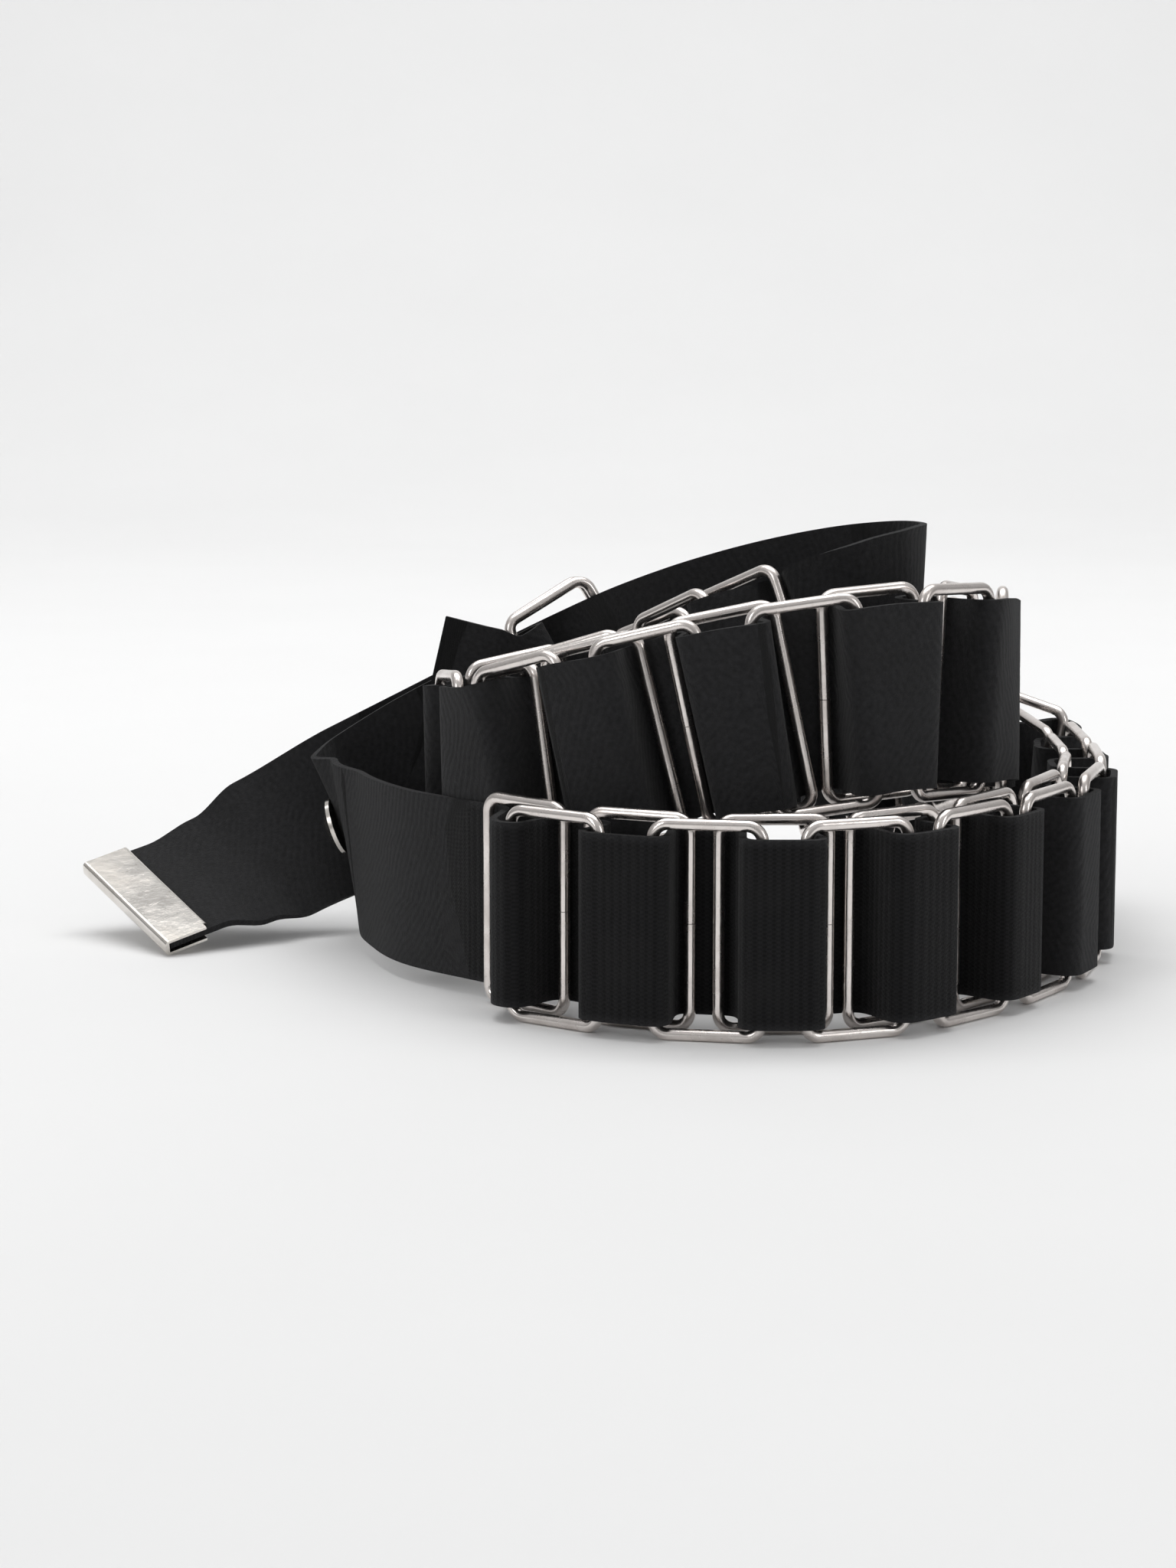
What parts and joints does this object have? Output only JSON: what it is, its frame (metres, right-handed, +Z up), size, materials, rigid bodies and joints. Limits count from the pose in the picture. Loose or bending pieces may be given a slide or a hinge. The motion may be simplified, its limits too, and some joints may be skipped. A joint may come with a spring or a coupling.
{
  "type": "gait belt",
  "caption": "Black webbing belt threaded through nickel wire rings, buckled and coiled, with a metal tip and a press stud.",
  "frame": {"origin": "middle of the footprint, on the surface the belt stands on", "axes": "+Z up; +X along the longest side of the coil, towards its right end; +Y away from the front row of rings"},
  "size_m": [0.2397, 0.1811, 0.0993],
  "materials": {
    "webbing": "matte woven polyester webbing with fine lengthwise ribs",
    "ring_wire": "bright nickel plate, lightly brushed by wear",
    "tip_metal": "polished nickel-plated sheet",
    "stud_metal": "polished nickel-plated cap"
  },
  "bodies": {
    "belt": {"back_ring_01": "ring_wire", "back_ring_02": "ring_wire", "back_ring_03": "ring_wire", "back_ring_04": "ring_wire", "back_ring_05": "ring_wire", "back_ring_06": "ring_wire", "back_ring_07": "ring_wire", "back_ring_08": "ring_wire", "back_ring_09": "ring_wire", "back_ring_10": "ring_wire", "back_ring_11": "ring_wire", "back_ring_12": "ring_wire", "back_ring_13": "ring_wire", "back_ring_14": "ring_wire", "back_ring_15": "ring_wire", "back_ring_16": "ring_wire", "back_ring_17": "ring_wire", "back_ring_18": "ring_wire", "back_ring_19": "ring_wire", "back_ring_20": "ring_wire", "back_ring_21": "ring_wire", "back_ring_22": "ring_wire", "belt_tip": "tip_metal", "front_ring_01": "ring_wire", "front_ring_02": "ring_wire", "front_ring_03": "ring_wire", "front_ring_04": "ring_wire", "front_ring_05": "ring_wire", "front_ring_06": "ring_wire", "front_ring_07": "ring_wire", "front_ring_08": "ring_wire", "front_ring_09": "ring_wire", "front_ring_10": "ring_wire", "front_ring_11": "ring_wire", "front_ring_12": "ring_wire", "front_ring_13": "ring_wire", "front_ring_14": "ring_wire", "front_ring_15": "ring_wire", "front_ring_16": "ring_wire", "front_ring_17": "ring_wire", "front_ring_18": "ring_wire", "front_ring_19": "ring_wire", "front_ring_20": "ring_wire", "front_ring_21": "ring_wire", "strap": "webbing", "stud_cap": "stud_metal", "stud_socket": "stud_metal"},
    "closure_ring_1": {"closure_ring_1": "ring_wire"},
    "closure_ring_2": {"closure_ring_2": "ring_wire"}
  },
  "joints": [
    {"name": "closure_ring_1_swing", "type": "hinge", "parent": "belt", "child": "closure_ring_1", "pos_m": [-0.00875, 0.0259, 0.05297], "axis": [-0.5, 0, 0.866], "range_deg": [-3, 3]},
    {"name": "closure_ring_2_swing", "type": "hinge", "parent": "belt", "child": "closure_ring_2", "pos_m": [-0.00865, 0.0287, 0.05303], "axis": [-0.5, 0, 0.866], "range_deg": [-3, 3]}
  ]
}
